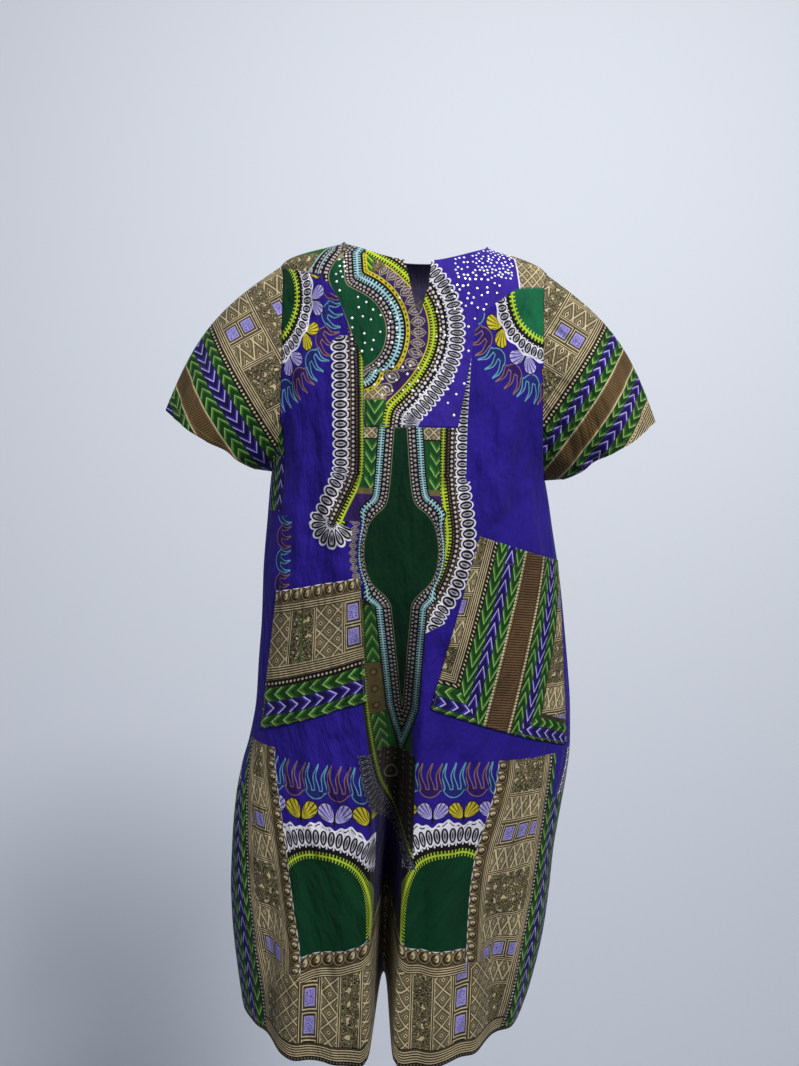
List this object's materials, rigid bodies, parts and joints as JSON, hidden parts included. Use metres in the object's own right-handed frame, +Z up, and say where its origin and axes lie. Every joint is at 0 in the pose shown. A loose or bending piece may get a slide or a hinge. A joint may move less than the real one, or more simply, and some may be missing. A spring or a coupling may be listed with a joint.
{
  "type": "bubu dress",
  "caption": "Loose knee-length bubu dress in printed cotton, worn shape, with a bib yoke, slit neck, wide short sleeves and patch pockets.",
  "frame": {"origin": "middle of the line between the two neck points of the shoulder seams, where the wearer's shoulders carry the dress", "axes": "+Z up along the worn dress, its front faces -Y, the wearer's left is +X"},
  "size_m": [0.723, 0.3072, 1.1431],
  "materials": {
    "body_print": "matt printed cotton, royal blue ground with green, khaki and white motifs",
    "yoke_print": "matt printed cotton, royal blue and green with small white rhinestones",
    "sleeve_print": "matt printed cotton, khaki lattice and green chevrons",
    "pocket_print": "matt printed cotton, khaki blocks and green chevrons"
  },
  "bodies": {
    "root": {"yoke_front": "yoke_print", "front": "body_print", "back": "body_print", "sleeve_right": "sleeve_print", "sleeve_left": "sleeve_print", "pocket_right": "pocket_print", "pocket_left": "pocket_print"}
  },
  "joints": []
}
